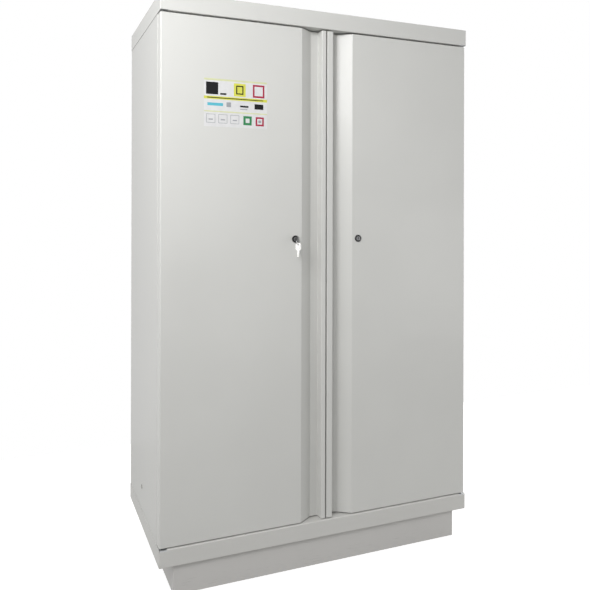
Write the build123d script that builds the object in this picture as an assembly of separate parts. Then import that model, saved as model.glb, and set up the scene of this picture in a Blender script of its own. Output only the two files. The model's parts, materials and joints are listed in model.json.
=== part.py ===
from build123d import *
import os
from math import atan, cos, pi, radians, sin, tan

# A two-door fireproof safety cabinet: a folded steel body lined with insulation boards, on a plinth,
# with a cap and a base tray whose fronts stand proud of two thick doors. Each door skin is formed
# with a vertical grip channel at its closing edge, and holds a key lock that drives two bolts.
# X runs to the right, the doors face -Y and Z is up. The origin is on the floor, at the middle of
# the whole width and depth. All sizes are in millimetres.

os.makedirs("parts", exist_ok=True)

# Overall sizes
WIDTH = 1200
DEPTH = 600
HEIGHT = 1980

# Bands of the front, from the floor up
PLINTH_HEIGHT = 102
TRAY_HEIGHT = 59
CAP_HEIGHT = 61
DOOR_GAP_BELOW = 4
DOOR_GAP_ABOVE = 5

# Sheet steel and the boards of the walls
SHEET = 1.5
THIN_SHEET = 1.0
BEND = 3
INSULATION = 46
LINER = 10
SIDE_RETURN = 24
FRAME_FLANGE = 30

# Plinth and feet
PLINTH_INSET = 50
PLINTH_SETBACK = 12
PLINTH_REAR_GAP = 40
PLINTH_FLANGE = 30
FLOOR_GAP = 2
FOOT_RADIUS = 25
FOOT_PAD = 10
FOOT_STEM_RADIUS = 6
FOOT_INSET = 45

# Doors
DOOR_RECESS = 6
PAN_DEPTH = 40
TONGUE_DEPTH = 24
TONGUE_CLEARANCE = 4.5
OPENING_MARGIN = 23
CENTRE_GAP = 5
DOOR_CORNER = 5
REAR_FLANGE = 10
HINGE_GAP = 4
SEAL_CLEARANCE = 0.3
SEAL_WIDTH = 12
STRIP_THICKNESS = 1.8
STRIP_WIDTH = 16

# Grip channel formed along the closing edge of each door
GRIP_DEPTH = 34
GRIP_SLOPE = 48
GRIP_FLOOR = 30
LEFT_LIP = 17
RIGHT_LIP = 22.5
SLOPE_BEND = 5
LIP_BEND = 2.5

# Pivots and door closers
PIVOT_INSET = 12
PIN_RADIUS = 6
SPINDLE_RADIUS = 8
RUNNING_FIT = 0.05
PIVOT_BLOCK = 17
PIVOT_BLOCK_HEIGHT = 16
PIN_END_GAP = 3
PIVOT_PLATE = 6
PIVOT_PLATE_LENGTH = 76
CLOSER_LENGTH = 210
CLOSER_HEIGHT = 50
SPINDLE_DEPTH = 28
NOTCH_WIDTH = 25
TRAY_NOTCH = 5
CAP_NOTCH = 2.5
NOTCH_DEPTH = 20

# Lock, its rack gear and its two bolts
LOCK_FROM_BEND = 24
LOCK_HEIGHT = 1003
RING_RADIUS = 13
RING_PROUD = 3
PLUG_RADIUS = 7.5
GEAR_MODULE = 1.5
PINION_TEETH = 17
PRESSURE_ANGLE = 20
BACKLASH = 0.2
GEAR_WIDTH = 7
GEAR_BEHIND_FACE = 22
RACK_BACK = 6
LOCK_TURN = 90
CASE_HALF_WIDTH = 22
CASE_HALF_HEIGHT = 34
BOLT_FIT = 0.2
BOLT_SETBACK = 1
BOLT_CHAMFER = 1.5
KEEPER_MARGIN = 2
CORE_TO_CASE = 10

# Keys and their ring
KEY_THICKNESS = 2.2
KEY_FIT = 0.2
BLADE_WIDTH = 8
BLADE_LENGTH = 18
KEY_SHOULDER = 4
BOW_LENGTH = 26
BOW_WIDTH = 20
BOW_CHAMFER = 5
BOW_HOLE = 3.2
BOW_HOLE_INSET = 6
KEY_CUT = 2
KEY_CUTS = ((6, 1.6), (10.5, 0.8), (15, 1.9))
RING_SIZE = 8
WIRE = 1.2
WIRE_CLEARANCE = 0.35
SPARE_KEY_TWIST = 50
SPARE_HANG_GAP = 1.4

# Inside fittings
UPRIGHT_WIDTH = 25
UPRIGHT_DEPTH = 3
UPRIGHT_INSET = 60
SLOT_WIDTH = 12
SLOT_HEIGHT = 5
SLOT_PITCH = 200
CLIP_WIDTH = 11
CLIP_HEIGHT = 16
CLIP_REACH = 14
CLIP_SHEET = 2
SHELF_SHARES = (0.25, 0.45, 0.7)
SHELF_SHEET = 1.2
SHELF_LIP = 30
SHELF_SIDE_GAP = 2
SHELF_FRONT_GAP = 14
SHELF_REAR_GAP = 10
SUMP_HEIGHT = 75
SUMP_SIDE_GAP = 6
COVER_LIP = 12
COVER_FRONT_GAP = 40
COVER_SLOT = 150
COVER_SLOT_HEIGHT = 16
COVER_COLUMNS = 5
COVER_ROWS = 3

# Exhaust air spigot in the roof, and the earthing insert in the left side
SPIGOT_RADIUS = 37.5
SPIGOT_HEIGHT = 50
SPIGOT_WALL = 1.5
SPIGOT_FLANGE = 110
SPIGOT_FROM_REAR = 110
GRILLE_SIDE = 92
GRILLE_THICKNESS = 3
GRILLE_SLOT = 6
EARTH_BACK = 334
EARTH_HEIGHT = 246
EARTH_RADIUS = 4
EARTH_BODY = 6
EARTH_FLANGE = 8.5
EARTH_SIDES = 16
EARTH_LENGTH = 14
EARTH_PROUD = 1
EARTH_POCKET = 16

# Depth places, from the proud front faces of cap and tray to the back
SPARE_TWIST = radians(SPARE_KEY_TWIST)
SPARE_REACH = BOW_WIDTH / 2 * cos(SPARE_TWIST) + KEY_THICKNESS / 2 * sin(SPARE_TWIST)
KEY_PROUD = RING_PROUD + KEY_SHOULDER + BOW_LENGTH + max(0, SPARE_REACH - BOW_HOLE_INSET)
FRONT = (KEY_PROUD - DOOR_RECESS - DEPTH) / 2
BACK = FRONT + DEPTH
DOOR_FRONT = FRONT + DOOR_RECESS
PAN_REAR = DOOR_FRONT + PAN_DEPTH
FRAME_FRONT = PAN_REAR + HINGE_GAP
FRAME_BACK = FRAME_FRONT + SHEET
SIDE_BACK = BACK - 2 * SHEET
BOARD_BACK = SIDE_BACK - SHEET
LINER_BACK = BOARD_BACK - INSULATION - LINER

# Width places, from the middle out to the left and right
SIDE_OUT = WIDTH / 2 - SHEET
SIDE_IN = SIDE_OUT - SHEET
BOARD_IN = SIDE_IN - INSULATION
LINER_IN = BOARD_IN - LINER
OPENING = LINER_IN - SHEET

# Heights, from the tray's floor up to the cap
TRAY_FLOOR = PLINTH_HEIGHT + SHEET
TRAY_TOP = PLINTH_HEIGHT + TRAY_HEIGHT
DOOR_BOTTOM = TRAY_TOP + DOOR_GAP_BELOW
CAP_BOTTOM = HEIGHT - CAP_HEIGHT
DOOR_TOP = CAP_BOTTOM - DOOR_GAP_ABOVE
CAP_INSIDE = HEIGHT - SHEET
OPENING_BOTTOM = DOOR_BOTTOM + OPENING_MARGIN
OPENING_TOP = DOOR_TOP - OPENING_MARGIN
LINER_FLOOR = OPENING_BOTTOM - SHEET
LINER_CEILING = OPENING_TOP + SHEET

# Hinge axes and lock centres
PIVOT_X = SIDE_OUT - PIVOT_INSET
PIVOT_Y = PAN_REAR - PIVOT_INSET
LOCK_Z = DOOR_BOTTOM + LOCK_HEIGHT
GEAR_Y = DOOR_FRONT + GEAR_BEHIND_FACE
PITCH_RADIUS = GEAR_MODULE * PINION_TEETH / 2
TOOTH_PITCH = pi * GEAR_MODULE
TOOTH_DEPTH = 1.25 * GEAR_MODULE
THROW = PITCH_RADIUS * radians(LOCK_TURN)


def block(x, y, z):
    """A box between two values on each axis."""
    size = [abs(high - low) for low, high in (x, y, z)]
    middle = [(low + high) / 2 for low, high in (x, y, z)]
    return Pos(*middle) * Box(*size)


def inside(span, wall):
    """A span drawn in by a wall at both ends."""
    return (span[0] + wall, span[1] - wall)


def upright(x, y, z, radius):
    """A cylinder standing between two heights."""
    low, high = min(z), max(z)
    return Pos(x, y, (low + high) / 2) * Cylinder(radius, high - low)


def along_depth(x, y, z, radius):
    """A cylinder lying front to back between two depths."""
    return Pos(x, sum(y) / 2, z) * Rot(90, 0, 0) * Cylinder(radius, y[1] - y[0])


def across(x, y, z, radius):
    """A cylinder lying left to right between two widths."""
    return Pos(sum(x) / 2, y, z) * Rot(0, 90, 0) * Cylinder(radius, x[1] - x[0])


def hexagon(x, y, z, radius):
    """A hexagonal bar standing between two heights."""
    return Pos(x, y, z[0]) * extrude(RegularPolygon(radius, 6), z[1] - z[0])


def one(shape):
    """The shape as a single solid."""
    solids = shape.solids()
    return solids[0] if len(solids) == 1 else Compound(solids)


def flip(shape):
    """The same piece for the right-hand side."""
    return mirror(shape, about=Plane.YZ)


def save(name, shape):
    """Writes one named piece."""
    export_step(one(shape), f"parts/{name}.step")


def pair(name, shape):
    """Writes a left piece and its mirror image on the right."""
    save(f"left_{name}", shape)
    save(f"right_{name}", flip(shape))


def soften(solid, radius):
    """Rounds the upright bends of a folded piece."""
    return fillet(solid.edges().filter_by(Axis.Z), radius)


# Plinth: a folded frame, open below, with flanges turned in under the tray and above the floor
plinth_x = (-WIDTH / 2 + PLINTH_INSET, WIDTH / 2 - PLINTH_INSET)
plinth_y = (FRONT + PLINTH_SETBACK, BACK - PLINTH_REAR_GAP)
plinth_z = (FLOOR_GAP, PLINTH_HEIGHT)
plinth = soften(block(plinth_x, plinth_y, plinth_z), BEND)
plinth -= block(inside(plinth_x, SHEET), inside(plinth_y, SHEET), inside(plinth_z, SHEET))
plinth -= block(inside(plinth_x, PLINTH_FLANGE), inside(plinth_y, PLINTH_FLANGE), plinth_z)
save("plinth", plinth)

# Levelling feet: a pad on a threaded stem at each corner inside the plinth
feet = []
for foot_x in inside(plinth_x, FOOT_INSET + PLINTH_FLANGE):
    for foot_y in inside(plinth_y, FOOT_INSET + PLINTH_FLANGE):
        pad = upright(foot_x, foot_y, (0, FOOT_PAD), FOOT_RADIUS)
        feet.append(pad + hexagon(foot_x, foot_y, (FOOT_PAD, PLINTH_HEIGHT), FOOT_STEM_RADIUS))
save("levelling_feet", Compound([one(foot) for foot in feet]))

# Base tray and cap: pans with a front flange that reaches back to the frame behind the doors
pan_x = (-WIDTH / 2, WIDTH / 2)
pan_y = (FRONT, BACK)


def edge_pan(low, high, floor, notch, flange_hole):
    """A pan open towards the body, with a front flange, hinge notches and pivot and bolt holes."""
    edge = high if floor == low else low
    outer = block(pan_x, pan_y, (low, high))
    bends = []
    for line in outer.edges():
        place = line.center()
        if abs(place.Z - edge) > BEND or abs(place.Y - FRONT) < BEND:
            bends.append(line)
    outer = fillet(bends, BEND)
    room = (floor + SHEET, high) if floor == low else (low, floor - SHEET)
    lip = (edge - SHEET, edge) if edge == high else (edge, edge + SHEET)
    pan = outer - block(inside(pan_x, SHEET), inside(pan_y, SHEET), room)
    pan += block(inside(pan_x, SHEET), (FRONT + SHEET, FRAME_FRONT), lip) & outer
    for side in (-1, 1):
        cut = (edge - notch, edge + notch)
        far = side * (WIDTH / 2 - SHEET)
        pan -= block((far - side * NOTCH_WIDTH, far), (FRONT, FRONT + NOTCH_DEPTH), cut)
        hole_x = inside((side * PIVOT_X, side * PIVOT_X), -flange_hole)
        pan -= block(hole_x, inside((PIVOT_Y, PIVOT_Y), -flange_hole), lip)
    return pan


# Bolt places, beside the lock on either hand
bolt_offset = PITCH_RADIUS + TOOTH_DEPTH + RACK_BACK / 2
lip_of = {-1: LEFT_LIP, 1: RIGHT_LIP}


def lock_x(side):
    """How far the lock of one door lies from the middle of the cabinet."""
    return CENTRE_GAP / 2 + lip_of[side] + GRIP_FLOOR + GRIP_SLOPE + LOCK_FROM_BEND


def bolt_hole(x, z, margin):
    """A rectangular hole for a bolt, larger than it by a margin on each side."""
    half_x = RACK_BACK / 2 + margin
    half_y = GEAR_WIDTH / 2 + margin
    return block((x - half_x, x + half_x), (GEAR_Y - half_y, GEAR_Y + half_y), z)


tray = edge_pan(PLINTH_HEIGHT, TRAY_TOP, PLINTH_HEIGHT, TRAY_NOTCH, SPINDLE_RADIUS + KEEPER_MARGIN)
cap = edge_pan(CAP_BOTTOM, HEIGHT, HEIGHT, CAP_NOTCH, PIN_RADIUS + KEEPER_MARGIN)
for side in (-1, 1):
    upper = side * (lock_x(side) + bolt_offset)
    lower = side * (lock_x(side) - bolt_offset)
    cap -= bolt_hole(upper, (CAP_BOTTOM, CAP_BOTTOM + SHEET), KEEPER_MARGIN)
    tray -= bolt_hole(lower, (TRAY_TOP - SHEET, TRAY_TOP), KEEPER_MARGIN)

spigot_y = BACK - SPIGOT_FROM_REAR
cap -= upright(0, spigot_y, (CAP_INSIDE, HEIGHT), SPIGOT_RADIUS)
save("base_tray", tray)
save("top_cap", cap)

# Side panels: folded channels with a return at the front and at the back
side_y = (FRAME_FRONT, SIDE_BACK)
side_z = (TRAY_FLOOR, CAP_INSIDE)
side_x = (-SIDE_OUT, -SIDE_OUT + SIDE_RETURN)
side_panel = block(side_x, side_y, side_z)
side_panel = fillet(side_panel.edges().filter_by(Axis.Z).group_by(Axis.X)[0], BEND)
side_panel -= block((-SIDE_IN, -SIDE_OUT + SIDE_RETURN), inside(side_y, SHEET), side_z)
earth_y = FRONT + EARTH_BACK
left_panel = side_panel - across((-SIDE_OUT, -SIDE_IN), earth_y, EARTH_HEIGHT, EARTH_BODY)
save("left_side_panel", left_panel)
save("right_side_panel", flip(side_panel))

# Back panel: one sheet behind both sides, inside the rims of the cap and the tray
save("back_panel", block((-SIDE_OUT, SIDE_OUT), (SIDE_BACK, BACK - SHEET), side_z))

# Insulation boards and their lining boards
board_y = (FRAME_BACK, BOARD_BACK)
side_board = block((-SIDE_IN, -BOARD_IN), board_y, side_z)
pocket = across((-SIDE_IN, -SIDE_OUT + EARTH_POCKET), earth_y, EARTH_HEIGHT, EARTH_FLANGE)
save("left_insulation", side_board - pocket)
save("right_insulation", flip(side_board))
inner_x = (-BOARD_IN, BOARD_IN)
back_y = (BOARD_BACK - INSULATION, BOARD_BACK)
top_z = (LINER_CEILING + LINER, CAP_INSIDE)
bottom_z = (TRAY_FLOOR, LINER_FLOOR - LINER)
save("back_insulation", block(inner_x, back_y, side_z))
room_y = (FRAME_BACK, back_y[0])
top_board = block(inner_x, room_y, top_z)
save("top_insulation", top_board - upright(0, spigot_y, top_z, SPIGOT_RADIUS))
save("bottom_insulation", block(inner_x, room_y, bottom_z))
ceiling = (LINER_CEILING, LINER_CEILING + LINER)
floor = (LINER_FLOOR - LINER, LINER_FLOOR)
top_liner = block(inner_x, room_y, ceiling)
save("top_liner", top_liner - upright(0, spigot_y, ceiling, SPIGOT_RADIUS))
save("bottom_liner", block(inner_x, room_y, floor))
wall_z = (LINER_FLOOR, LINER_CEILING)
pair("liner", block((-BOARD_IN, -LINER_IN), room_y, wall_z))
save("back_liner", block((-LINER_IN, LINER_IN), (LINER_BACK, back_y[0]), wall_z))

# Front frame: angle rails round the opening, whose inner flanges cover the edges of the lining
flange_y = (FRAME_FRONT, FRAME_FRONT + FRAME_FLANGE)
face_y = (FRAME_FRONT, FRAME_BACK)
opening_x = (-OPENING, OPENING)
stile = block((-SIDE_OUT + SIDE_RETURN, -OPENING), face_y, side_z)
stile += block((-LINER_IN, -OPENING), flange_y, (LINER_FLOOR, LINER_CEILING))
pair("frame_stile", stile)
head = block(opening_x, face_y, (OPENING_TOP, CAP_INSIDE))
save("frame_head", head + block(opening_x, flange_y, (OPENING_TOP, LINER_CEILING)))
sill = block(opening_x, face_y, (TRAY_FLOOR, OPENING_BOTTOM))
save("frame_sill", sill + block(opening_x, flange_y, (LINER_FLOOR, OPENING_BOTTOM)))

# Fire strips: they swell in heat and close the gap between the frame and the doors
strip_y = (FRAME_BACK + HINGE_GAP, FRAME_BACK + HINGE_GAP + STRIP_WIDTH)
strip_z = (OPENING_BOTTOM, OPENING_TOP)
strips = []
for side in (-1, 1):
    edge = side * OPENING
    strips.append(block((edge, edge - side * STRIP_THICKNESS), strip_y, strip_z))
strip_x = inside(opening_x, STRIP_THICKNESS)
strips.append(block(strip_x, strip_y, (OPENING_BOTTOM, OPENING_BOTTOM + STRIP_THICKNESS)))
strips.append(block(strip_x, strip_y, (OPENING_TOP - STRIP_THICKNESS, OPENING_TOP)))
save("frame_fire_strips", Compound([one(strip) for strip in strips]))


# Door skin: a formed pan whose plan section has the grip channel along the closing edge
def door_outline(lip):
    """The outer plan section of a left door, with its bends rounded."""
    hinge_edge = -SIDE_OUT
    closing_edge = -CENTRE_GAP / 2
    flank = closing_edge - lip
    foot = flank - GRIP_FLOOR
    bend = foot - GRIP_SLOPE
    corners = [
        (hinge_edge, PAN_REAR, DOOR_CORNER),
        (hinge_edge, DOOR_FRONT, DOOR_CORNER),
        (bend, DOOR_FRONT, SLOPE_BEND),
        (foot, DOOR_FRONT + GRIP_DEPTH, SLOPE_BEND),
        (flank, DOOR_FRONT + GRIP_DEPTH, LIP_BEND),
        (flank, DOOR_FRONT, LIP_BEND),
        (closing_edge, DOOR_FRONT, LIP_BEND),
        (closing_edge, PAN_REAR, LIP_BEND),
    ]
    face = make_face(Polyline([(x, y) for x, y, r in corners], close=True))
    for x, y, radius in corners:
        corner = face.vertices().sort_by_distance((x, y, 0))[0]
        face = fillet([corner], radius)
    return face


def door_skin(lip):
    """The skin of a left door, open at the back inside its flanges."""
    outline = door_outline(lip)
    hollow = offset(outline, -SHEET, kind=Kind.INTERSECTION)
    height = DOOR_TOP - DOOR_BOTTOM
    skin = Pos(0, 0, DOOR_BOTTOM) * extrude(outline, height)
    skin -= Pos(0, 0, DOOR_BOTTOM + SHEET) * extrude(hollow, height - 2 * SHEET)
    opening = (-SIDE_OUT + REAR_FLANGE, -CENTRE_GAP / 2 - REAR_FLANGE)
    skin -= block(opening, (PAN_REAR - SHEET, PAN_REAR), inside((DOOR_BOTTOM, DOOR_TOP), REAR_FLANGE))
    return skin


# Gear teeth: an involute flank for the pinion, straight flanks for the racks
def involute_half_angle(radius):
    """Half the angle that a pinion tooth covers at a radius."""
    base = PITCH_RADIUS * cos(radians(PRESSURE_ANGLE))

    def roll(size):
        lean = (max(size, base) ** 2 - base ** 2) ** 0.5 / base
        return lean - atan(lean)

    half_tooth = (TOOTH_PITCH - BACKLASH) / 4 / PITCH_RADIUS
    return half_tooth + roll(PITCH_RADIUS) - roll(radius)


def pinion():
    """The spur gear on the lock's shaft, lying in the plane of the door."""
    root = PITCH_RADIUS - TOOTH_DEPTH
    tip = PITCH_RADIUS + GEAR_MODULE
    step = 2 * pi / PINION_TEETH
    flank = [(r, involute_half_angle(r)) for r in (root, tip)]
    points = []
    for tooth in range(PINION_TEETH):
        middle = (tooth + 0.5) * step
        points += [(r * cos(middle - a), r * sin(middle - a)) for r, a in flank]
        points += [(r * cos(middle + a), r * sin(middle + a)) for r, a in reversed(flank)]
    return extrude(make_face(Polyline(points, close=True)), GEAR_WIDTH / 2, both=True)


def rack(teeth_low, teeth_high, phase):
    """A toothed bar standing on the left of the pinion, with its teeth to the right."""
    slope = tan(radians(PRESSURE_ANGLE))
    quarter = (TOOTH_PITCH - BACKLASH) / 4
    wide = quarter + TOOTH_DEPTH * slope
    narrow = quarter - GEAR_MODULE * slope
    root = -PITCH_RADIUS - TOOTH_DEPTH
    tip = -PITCH_RADIUS + GEAR_MODULE
    teeth = [(root, (teeth_low + phase) * TOOTH_PITCH - TOOTH_PITCH / 2)]
    for tooth in range(teeth_low, teeth_high + 1):
        middle = (tooth + phase) * TOOTH_PITCH
        teeth += [(root, middle - wide), (tip, middle - narrow)]
        teeth += [(tip, middle + narrow), (root, middle + wide)]
    teeth.append((root, (teeth_high + phase) * TOOTH_PITCH + TOOTH_PITCH / 2))
    back = root - RACK_BACK
    outline = teeth + [(back, teeth[-1][1]), (back, teeth[0][1])]
    return extrude(make_face(Polyline(outline, close=True)), GEAR_WIDTH / 2, both=True)


def lock_rod(length, phase):
    """A flat bar, toothed at its foot and chamfered at its tip, upwards from the lock centre."""
    travel_teeth = int(THROW / TOOTH_PITCH) + 2
    teeth = Rot(90, 0, 0) * rack(-travel_teeth, 1, phase)
    half = RACK_BACK / 2
    span = (-bolt_offset - half, -bolt_offset + half)
    bar = block(span, (-GEAR_WIDTH / 2, GEAR_WIDTH / 2), (TOOTH_PITCH, length))
    bar = chamfer(bar.faces().sort_by(Axis.Z)[-1].edges(), BOLT_CHAMFER)
    return teeth + bar


# Keys: a flat blade and an oval bow with a hole for the ring
def key():
    """A key in the YZ plane, with its shoulder at the origin and its bow towards -Y."""
    half = KEY_THICKNESS / 2
    blade = block((-half, half), (-KEY_SHOULDER, BLADE_LENGTH), (-BLADE_WIDTH / 2, BLADE_WIDTH / 2))
    for place, deep in KEY_CUTS:
        cut_y = (place - KEY_CUT / 2, place + KEY_CUT / 2)
        blade -= block((-half, half), cut_y, (-BLADE_WIDTH / 2, -BLADE_WIDTH / 2 + deep))
    outline = Rectangle(BOW_LENGTH, BOW_WIDTH)
    outline = chamfer(outline.vertices(), BOW_CHAMFER)
    bow = Pos(0, -KEY_SHOULDER - BOW_LENGTH / 2, 0) * extrude(Plane.YZ * outline, half, both=True)
    hole_y = -KEY_SHOULDER - BOW_LENGTH + BOW_HOLE_INSET
    return blade + bow - across((-half, half), hole_y, 0, BOW_HOLE)


# Everything that belongs to one door, made as a left door and turned over for the right
tongue_x = (-OPENING + TONGUE_CLEARANCE, -CENTRE_GAP / 2 - REAR_FLANGE - SHEET)
tongue_z = inside((OPENING_BOTTOM, OPENING_TOP), TONGUE_CLEARANCE)
plate_y = (PAN_REAR - SHEET - THIN_SHEET, PAN_REAR - SHEET)
tongue_back = PAN_REAR + TONGUE_DEPTH
plug_face = DOOR_FRONT - RING_PROUD
plug_bore = PLUG_RADIUS + RUNNING_FIT
case_y = (DOOR_FRONT + SHEET, plate_y[0])
block_x = (-PIVOT_X - PIVOT_BLOCK / 2, -PIVOT_X + PIVOT_BLOCK / 2)
block_y = (PIVOT_Y - PIVOT_BLOCK / 2, PIVOT_Y + PIVOT_BLOCK / 2)
door_foot = (DOOR_BOTTOM, DOOR_BOTTOM + SHEET)
door_head = (DOOR_TOP - SHEET, DOOR_TOP)
closer_top = TRAY_TOP - SHEET

for side, hand, lip in ((-1, "left", LEFT_LIP), (1, "right", RIGHT_LIP)):
    turn = flip if side == 1 else one
    centre = -lock_x(side)
    at_lock = Pos(centre, GEAR_Y, LOCK_Z)

    # Skin, with the holes for the lock, the pivots and the bolts
    skin = door_skin(lip)
    skin -= along_depth(centre, (DOOR_FRONT, DOOR_FRONT + SHEET), LOCK_Z, plug_bore)
    skin -= block(block_x, block_y, door_foot)
    skin -= block(block_x, block_y, door_head)
    skin -= bolt_hole(centre - bolt_offset, door_head, BOLT_FIT)
    skin -= bolt_hole(centre + bolt_offset, door_foot, BOLT_FIT)
    save(f"{hand}_door_skin", turn(skin))

    # Inner pan: a flange plate inside the skin and the tongue that enters the frame
    plate_x = (-SIDE_OUT + DOOR_CORNER, -CENTRE_GAP / 2 - LIP_BEND)
    plate = block(plate_x, plate_y, inside((DOOR_BOTTOM, DOOR_TOP), SHEET))
    tongue = block(tongue_x, (plate_y[0], tongue_back), tongue_z)
    board_y = (plate_y[0], tongue_back - THIN_SHEET)
    board = block(inside(tongue_x, THIN_SHEET), board_y, inside(tongue_z, THIN_SHEET))
    inner_pan = plate + tongue - board
    save(f"{hand}_door_inner_pan", turn(inner_pan))

    # Insulation: a slab in the pan as far as the lock, and a board in the tongue
    core_x = (-SIDE_OUT + SHEET, centre - CASE_HALF_WIDTH - CORE_TO_CASE)
    core_z = inside((DOOR_BOTTOM, DOOR_TOP), PIVOT_BLOCK_HEIGHT)
    core = block(core_x, (DOOR_FRONT + SHEET, plate_y[0]), core_z)
    core = fillet(core.edges().filter_by(Axis.Z).group_by(Axis.X)[0], DOOR_CORNER - SHEET)
    save(f"{hand}_door_core", turn(core))
    save(f"{hand}_tongue_board", turn(board))

    # Seals: a gasket on three sides that meets the frame, and a fire strip on the closing edge
    seal_y = (plate_y[1], FRAME_FRONT - SEAL_CLEARANCE)
    seal_out = (-SIDE_OUT + SIDE_RETURN + HINGE_GAP, tongue_x[1])
    seal_z = inside((OPENING_BOTTOM, OPENING_TOP), -SEAL_WIDTH)
    seal = block(seal_out, seal_y, seal_z)
    seal -= block((seal_out[0] + SEAL_WIDTH, tongue_x[1]), seal_y, inside(seal_z, SEAL_WIDTH))
    meeting_y = (PAN_REAR + HINGE_GAP, PAN_REAR + HINGE_GAP + STRIP_WIDTH)
    meeting = block((tongue_x[1], tongue_x[1] + STRIP_THICKNESS), meeting_y, tongue_z)
    save(f"{hand}_door_seals", turn(Compound([one(seal), one(meeting)])))

    # Pivots: a bored block at the top and a block with a spindle at the bottom
    bush = block(block_x, block_y, (DOOR_TOP - PIVOT_BLOCK_HEIGHT, DOOR_TOP))
    bush -= upright(-PIVOT_X, PIVOT_Y, (DOOR_TOP - PIVOT_BLOCK_HEIGHT, DOOR_TOP), PIN_RADIUS + RUNNING_FIT)
    spindle = block(block_x, block_y, (DOOR_BOTTOM, DOOR_BOTTOM + PIVOT_BLOCK_HEIGHT))
    spindle += upright(-PIVOT_X, PIVOT_Y, (closer_top - SPINDLE_DEPTH, DOOR_BOTTOM), SPINDLE_RADIUS)
    save(f"{hand}_door_pivots", turn(Compound([one(bush), one(spindle)])))

    # Lock ring: the proud black rim round the plug
    ring = along_depth(centre, (plug_face, DOOR_FRONT), LOCK_Z, RING_RADIUS)
    ring -= along_depth(centre, (plug_face, DOOR_FRONT), LOCK_Z, plug_bore)
    save(f"{hand}_lock_ring", turn(ring))

    # Gear case: a channel behind the skin, open above and below for the rods
    case_x = (centre - CASE_HALF_WIDTH, centre + CASE_HALF_WIDTH)
    case_z = (LOCK_Z - CASE_HALF_HEIGHT, LOCK_Z + CASE_HALF_HEIGHT)
    case = block(case_x, case_y, case_z)
    case -= block(inside(case_x, THIN_SHEET), (case_y[0], case_y[1] - THIN_SHEET), case_z)
    save(f"{hand}_lock_case", turn(case))

    # Plug: the turning cylinder with its keyway and the pinion
    plug = along_depth(centre, (plug_face, GEAR_Y + GEAR_WIDTH / 2), LOCK_Z, PLUG_RADIUS)
    plug += at_lock * Rot(90, 0, 0) * pinion()
    keyway_x = (centre - KEY_THICKNESS / 2 - KEY_FIT, centre + KEY_THICKNESS / 2 + KEY_FIT)
    keyway_z = (LOCK_Z - BLADE_WIDTH / 2 - KEY_FIT, LOCK_Z + BLADE_WIDTH / 2 + KEY_FIT)
    plug -= block(keyway_x, (plug_face, plug_face + BLADE_LENGTH + KEY_FIT), keyway_z)
    save(f"{hand}_lock_plug", turn(plug))

    # Rods: toothed bars with bolt noses that pass through the ends of the door
    odd_teeth = PINION_TEETH % 2
    upper = at_lock * lock_rod(DOOR_TOP - BOLT_SETBACK - LOCK_Z, odd_teeth / 2)
    lower = at_lock * Rot(0, 180, 0) * lock_rod(LOCK_Z - DOOR_BOTTOM - BOLT_SETBACK, 0)
    save(f"{hand}_upper_rod", turn(upper))
    save(f"{hand}_lower_rod", turn(lower))

# Upper pivots: a plate and a pin inside the cap over each door
plate_z = (CAP_BOTTOM + SHEET, CAP_BOTTOM + SHEET + PIVOT_PLATE)
pivot_x = (-SIDE_IN, -SIDE_IN + PIVOT_PLATE_LENGTH)
pivot = block(pivot_x, (FRONT + SHEET, FRAME_FRONT), plate_z)
pin_z = (DOOR_TOP - PIVOT_BLOCK_HEIGHT + PIN_END_GAP, plate_z[0])
pivot += upright(-PIVOT_X, PIVOT_Y, pin_z, PIN_RADIUS)
save("upper_pivots", Compound([one(pivot), one(flip(pivot))]))

# Door closers: housings inside the tray that carry the doors and turn them shut
closer_x = (-SIDE_IN, -SIDE_IN + CLOSER_LENGTH)
closer = block(closer_x, (FRONT + SHEET, FRAME_FRONT), (closer_top - CLOSER_HEIGHT, closer_top))
closer -= upright(-PIVOT_X, PIVOT_Y, (closer_top - SPINDLE_DEPTH, closer_top), SPINDLE_RADIUS + RUNNING_FIT)
save("door_closers", Compound([one(closer), one(flip(closer))]))

# Keys: one in the left lock, and a spare that hangs from a ring in its bow
left_lock_x = -lock_x(-1)
inserted = Pos(left_lock_x, plug_face, LOCK_Z) * key()
save("door_key", inserted)
hang_y = plug_face - KEY_SHOULDER - BOW_LENGTH + BOW_HOLE_INSET
hang_drop = BOW_HOLE - WIRE / 2 - WIRE_CLEARANCE
hang_z = LOCK_Z - hang_drop
wire = Plane.XZ * Pos(RING_SIZE, 0) * Rectangle(WIRE, WIRE)
ring = Rot(90, 0, 0) * revolve(wire, Axis.Z)
save("key_ring", Pos(left_lock_x, hang_y, hang_z - RING_SIZE) * ring)
spare_z = hang_z - 2 * RING_SIZE
hole_to_shoulder = KEY_SHOULDER + BOW_LENGTH - BOW_HOLE_INSET
spare = Pos(left_lock_x, hang_y, spare_z - hang_drop + SPARE_HANG_GAP) * Rot(0, 0, SPARE_KEY_TWIST)
spare = spare * Rot(-90, 0, 0) * Pos(0, hole_to_shoulder, 0) * key()
save("spare_key", spare)

# Shelf uprights: slotted strips on the side linings
shelf_room = (FRAME_FRONT + FRAME_FLANGE, LINER_BACK)
upright_places = inside(shelf_room, UPRIGHT_INSET)
upright_z = inside(wall_z, SLOT_PITCH / 4)
first_slot = upright_z[0] + SLOT_PITCH / 2
slot_count = int((upright_z[1] - first_slot - SLOT_HEIGHT) / SLOT_PITCH) + 1
shelf_slots = [round(share * slot_count) for share in SHELF_SHARES]


def slot_z(number):
    """The middle height of one slot, counted from the bottom."""
    return first_slot + number * SLOT_PITCH


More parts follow.
